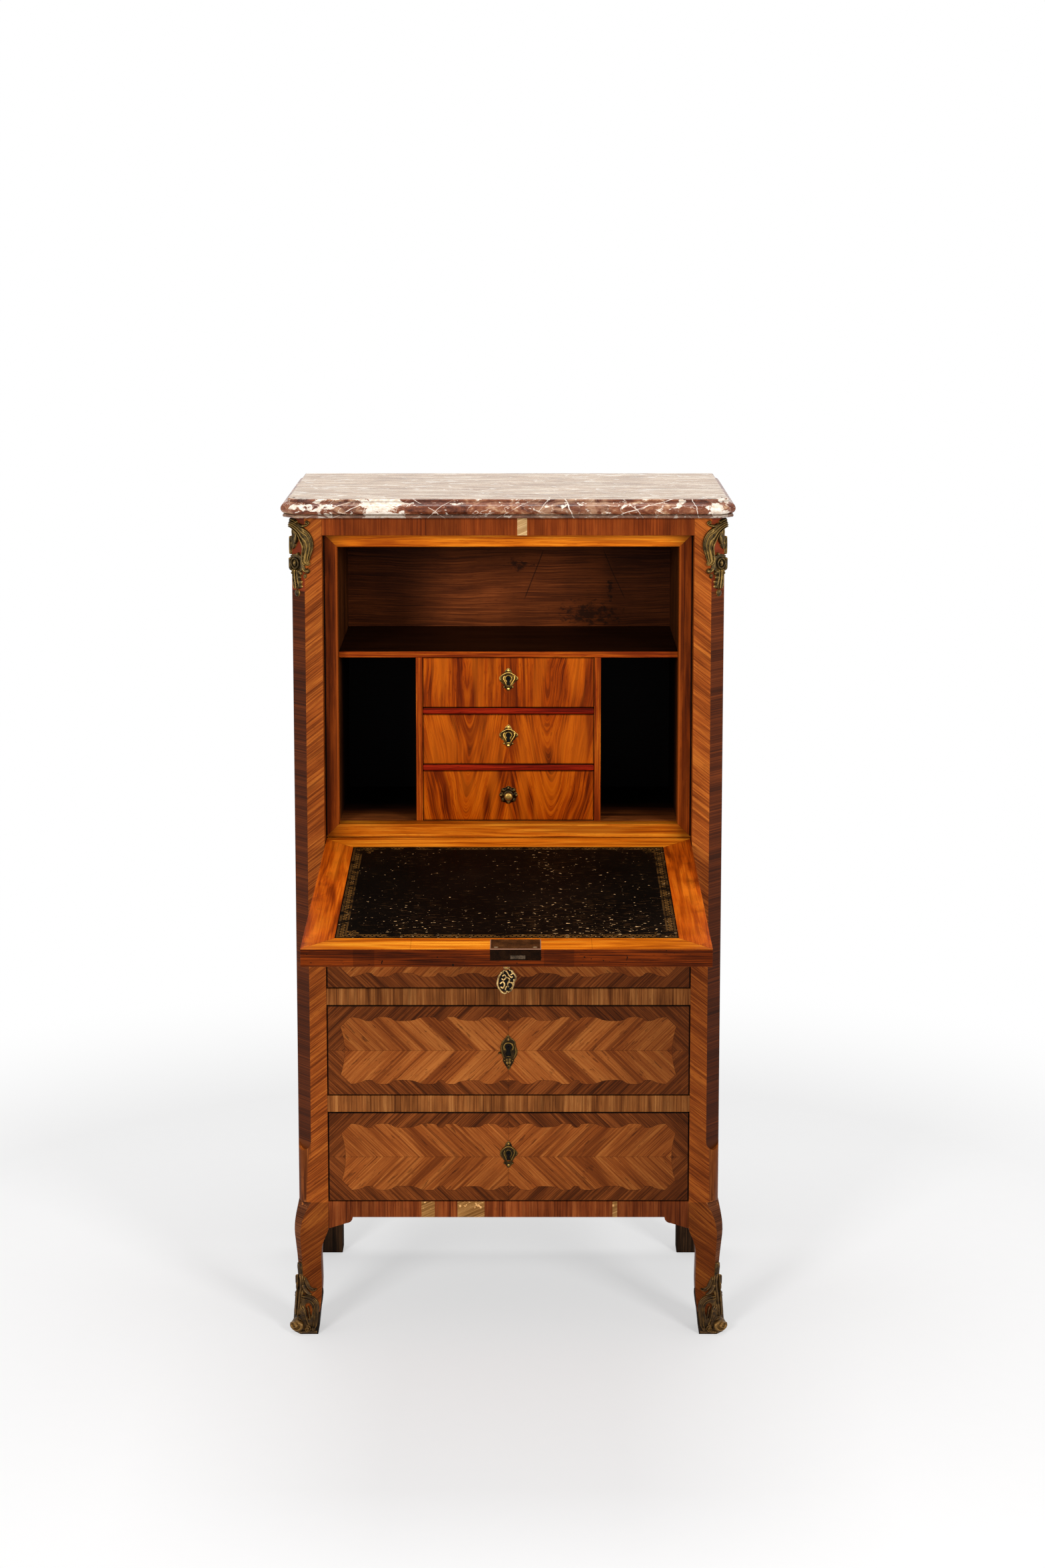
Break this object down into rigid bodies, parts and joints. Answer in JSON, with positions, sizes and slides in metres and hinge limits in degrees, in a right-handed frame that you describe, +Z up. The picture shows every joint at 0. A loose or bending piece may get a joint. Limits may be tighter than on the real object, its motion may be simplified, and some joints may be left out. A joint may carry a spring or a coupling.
{
  "type": "escritoire",
  "caption": "Fall-front escritoire on curved legs with a marble top, a leather-lined writing fall, a nest of compartments and small drawers, and large drawers below.",
  "frame": {"origin": "on the floor below the middle of the piece with its fall open", "axes": "+Z up, -Y towards the person who writes at it, +X to that person's right"},
  "size_m": [0.673, 0.8, 1.2915],
  "materials": {
    "marble": "polished red-brown marble with white patches",
    "veneer": "waxed brown veneer",
    "marquetry": "waxed diagonal veneer",
    "golden_veneer": "polished golden veneer",
    "red_veneer": "polished reddish veneer",
    "carcass_wood": "dark old oak",
    "drawer_wood": "plain oak",
    "leather": "worn black leather with gilt tooling",
    "bronze": "darkened gilt bronze",
    "brass": "old brass",
    "steel": "dull steel"
  },
  "bodies": {
    "case": {"marble_top": "marble", "left_front_post": "veneer", "right_front_post": "veneer", "left_rear_post": "carcass_wood", "right_rear_post": "carcass_wood", "left_side_panel": "veneer", "right_side_panel": "veneer", "back_panel": "carcass_wood", "case_top": "carcass_wood", "dust_boards": "carcass_wood", "drawer_runners": "carcass_wood", "frieze_rail": "veneer", "fall_rail": "veneer", "drawer_rails": "veneer", "apron": "veneer", "stop_frame": "golden_veneer", "nest_walls": "carcass_wood", "nest_back": "carcass_wood", "nest_floor": "carcass_wood", "nest_shelf": "red_veneer", "nest_dividers": "red_veneer", "nest_blades": "red_veneer", "fall_stop": "carcass_wood", "pivot_pins": "steel", "corner_mounts": "bronze", "sabots": "bronze"},
    "fall": {"fall_panel": "veneer", "writing_leather": "leather", "fall_lock": "steel", "pivot_sockets": "brass", "fall_escutcheon": "brass"},
    "fall_bolt": {"fall_bolt": "steel"},
    "key": {"key": "brass"},
    "top_drawer": {"top_drawer_front": "marquetry", "top_drawer_box": "drawer_wood", "top_drawer_lock": "steel", "top_drawer_escutcheon": "brass"},
    "top_bolt": {"top_drawer_bolt": "steel"},
    "middle_drawer": {"middle_drawer_front": "marquetry", "middle_drawer_box": "drawer_wood", "middle_drawer_lock": "steel", "middle_drawer_escutcheon": "brass"},
    "middle_bolt": {"middle_drawer_bolt": "steel"},
    "bottom_drawer": {"bottom_drawer_front": "marquetry", "bottom_drawer_box": "drawer_wood", "bottom_drawer_lock": "steel", "bottom_drawer_escutcheon": "brass"},
    "bottom_bolt": {"bottom_drawer_bolt": "steel"},
    "nest_upper_drawer": {"nest_upper_drawer_front": "golden_veneer", "nest_upper_drawer_box": "drawer_wood", "nest_upper_drawer_lock": "brass"},
    "nest_upper_bolt": {"nest_upper_drawer_bolt": "steel"},
    "nest_middle_drawer": {"nest_middle_drawer_front": "golden_veneer", "nest_middle_drawer_box": "drawer_wood", "nest_middle_drawer_lock": "brass"},
    "nest_middle_bolt": {"nest_middle_drawer_bolt": "steel"},
    "nest_lower_drawer": {"nest_lower_drawer_front": "golden_veneer", "nest_lower_drawer_box": "drawer_wood", "nest_lower_drawer_knob": "brass"}
  },
  "joints": [
    {"name": "fall_hinge", "type": "hinge", "parent": "case", "child": "fall", "pos_m": [0, 0.0775, 0.7585], "axis": [1, 0, 0], "range_deg": [-93, 0]},
    {"name": "key_turn", "type": "hinge", "parent": "fall", "child": "key", "pos_m": [0, -0.37568, 0.73475], "axis": [0, -0.0523, 0.9986], "range_deg": [0, 180]},
    {"name": "fall_bolt_slide", "type": "slide", "parent": "fall", "child": "fall_bolt", "axis": [0, -0.9986, -0.0523], "range_m": [0, 0.009]},
    {"name": "top_drawer_slide", "type": "slide", "parent": "case", "child": "top_drawer", "axis": [0, -1, 0], "range_m": [0, 0.21]},
    {"name": "top_bolt_slide", "type": "slide", "parent": "top_drawer", "child": "top_bolt", "axis": [0, 0, 1], "range_m": [0, 0.007]},
    {"name": "middle_drawer_slide", "type": "slide", "parent": "case", "child": "middle_drawer", "axis": [0, -1, 0], "range_m": [0, 0.21]},
    {"name": "middle_bolt_slide", "type": "slide", "parent": "middle_drawer", "child": "middle_bolt", "axis": [0, 0, 1], "range_m": [0, 0.007]},
    {"name": "bottom_drawer_slide", "type": "slide", "parent": "case", "child": "bottom_drawer", "axis": [0, -1, 0], "range_m": [0, 0.21]},
    {"name": "bottom_bolt_slide", "type": "slide", "parent": "bottom_drawer", "child": "bottom_bolt", "axis": [0, 0, 1], "range_m": [0, 0.007]},
    {"name": "nest_upper_drawer_slide", "type": "slide", "parent": "case", "child": "nest_upper_drawer", "axis": [0, -1, 0], "range_m": [0, 0.16]},
    {"name": "nest_upper_bolt_slide", "type": "slide", "parent": "nest_upper_drawer", "child": "nest_upper_bolt", "axis": [0, 0, 1], "range_m": [0, 0.0045]},
    {"name": "nest_middle_drawer_slide", "type": "slide", "parent": "case", "child": "nest_middle_drawer", "axis": [0, -1, 0], "range_m": [0, 0.16]},
    {"name": "nest_middle_bolt_slide", "type": "slide", "parent": "nest_middle_drawer", "child": "nest_middle_bolt", "axis": [0, 0, 1], "range_m": [0, 0.0045]},
    {"name": "nest_lower_drawer_slide", "type": "slide", "parent": "case", "child": "nest_lower_drawer", "axis": [0, -1, 0], "range_m": [0, 0.16]}
  ],
  "couplings": [
    {"joint": "fall_bolt_slide", "follows": "key_turn", "m_per_rad": 0.0028647}
  ]
}
